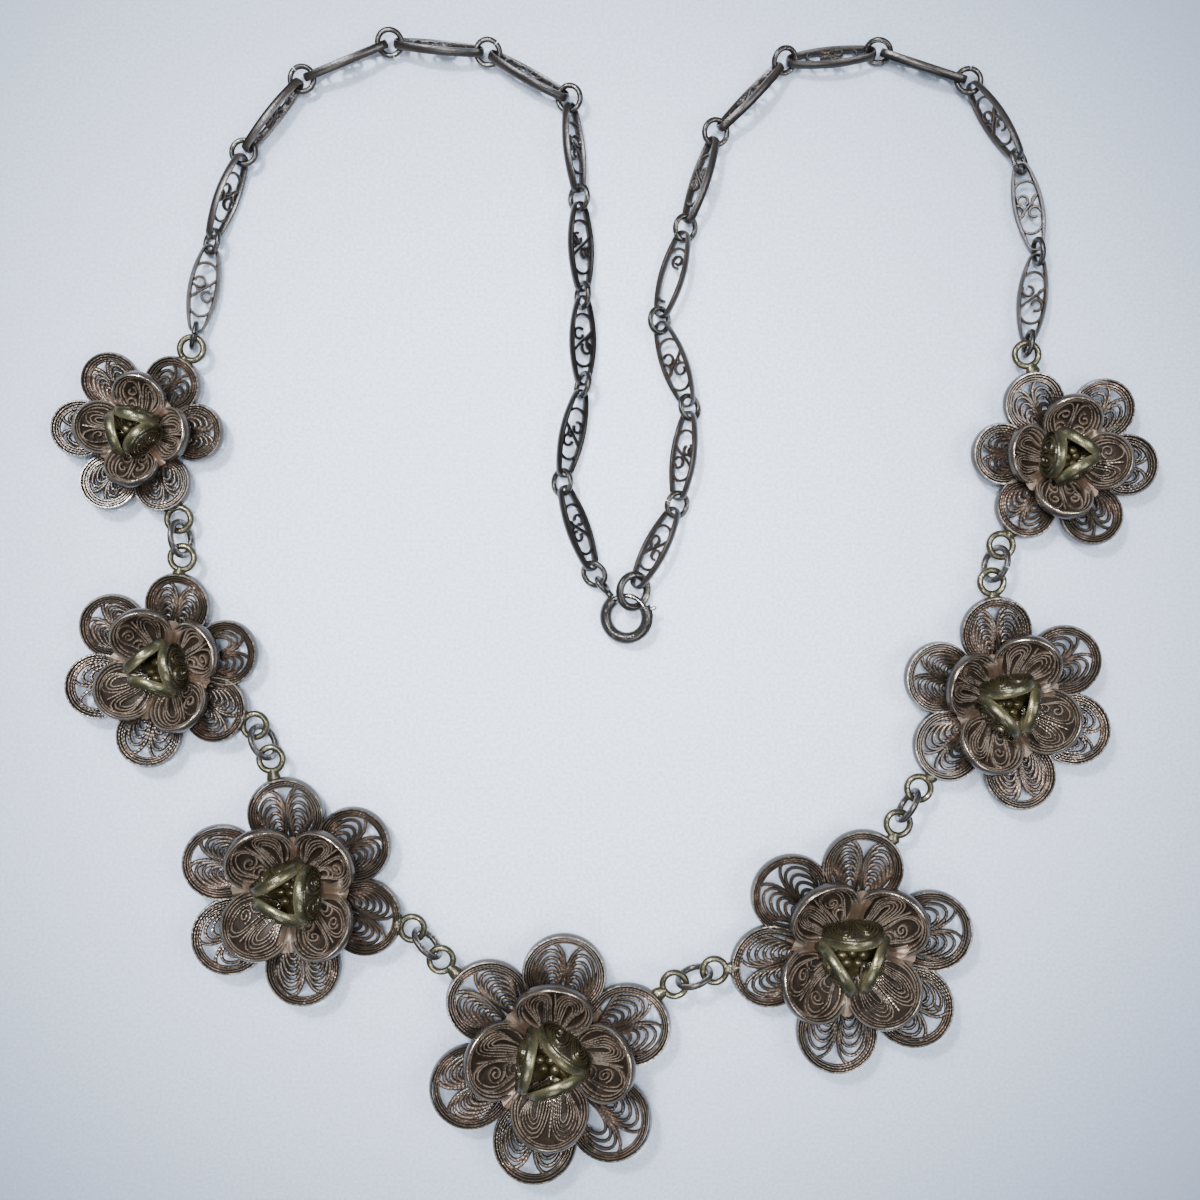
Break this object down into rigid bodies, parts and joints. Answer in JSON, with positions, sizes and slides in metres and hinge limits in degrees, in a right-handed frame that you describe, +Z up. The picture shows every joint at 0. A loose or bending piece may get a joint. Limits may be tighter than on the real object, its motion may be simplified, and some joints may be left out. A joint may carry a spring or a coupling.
{
  "type": "filigree necklace",
  "caption": "Silver filigree necklace: graduated openwork flowers with upright buds between chains of boat-shaped scroll links, closed by a spring ring clasp on a large ring.",
  "frame": {"origin": "middle of the underside of its box, on the table it lies on", "axes": "+Z up from the table, +Y from the largest flower towards the chains, +X to the right as pictured"},
  "size_m": [0.1236, 0.1288, 0.0089],
  "materials": {
    "flower_silver": "silver tarnished brown, polished on its edges",
    "chain_silver": "dark oxidised silver",
    "bolt_silver": "polished silver"
  },
  "bodies": {
    "necklace": {"flower_1": "flower_silver", "flower_2": "flower_silver", "flower_3": "flower_silver", "flower_4": "flower_silver", "flower_5": "flower_silver", "flower_6": "flower_silver", "flower_7": "flower_silver", "flower_ring_1": "flower_silver", "flower_ring_2": "flower_silver", "flower_ring_3": "flower_silver", "flower_ring_4": "flower_silver", "flower_ring_5": "flower_silver", "flower_ring_6": "flower_silver", "left_link_1": "chain_silver", "left_link_2": "chain_silver", "left_link_3": "chain_silver", "left_link_4": "chain_silver", "left_link_5": "chain_silver", "left_link_6": "chain_silver", "left_link_7": "chain_silver", "left_link_8": "chain_silver", "left_link_9": "chain_silver", "left_link_10": "chain_silver", "left_link_11": "chain_silver", "right_link_1": "chain_silver", "right_link_2": "chain_silver", "right_link_3": "chain_silver", "right_link_4": "chain_silver", "right_link_5": "chain_silver", "right_link_6": "chain_silver", "right_link_7": "chain_silver", "right_link_8": "chain_silver", "right_link_9": "chain_silver", "right_link_10": "chain_silver", "right_link_11": "chain_silver", "left_chain_rings": "chain_silver", "right_chain_rings": "chain_silver", "clasp_tube": "chain_silver", "catch_ring": "chain_silver"},
    "bolt": {"clasp_bolt": "bolt_silver"}
  },
  "joints": [
    {"name": "bolt_slide", "type": "hinge", "parent": "necklace", "child": "bolt", "pos_m": [0.00247, -0.00141, 0.0016], "axis": [0.2432, 0.0885, -0.9659], "range_deg": [0, 85], "stiffness_Nm_per_rad": 0.001, "springref_deg": -11.46}
  ]
}
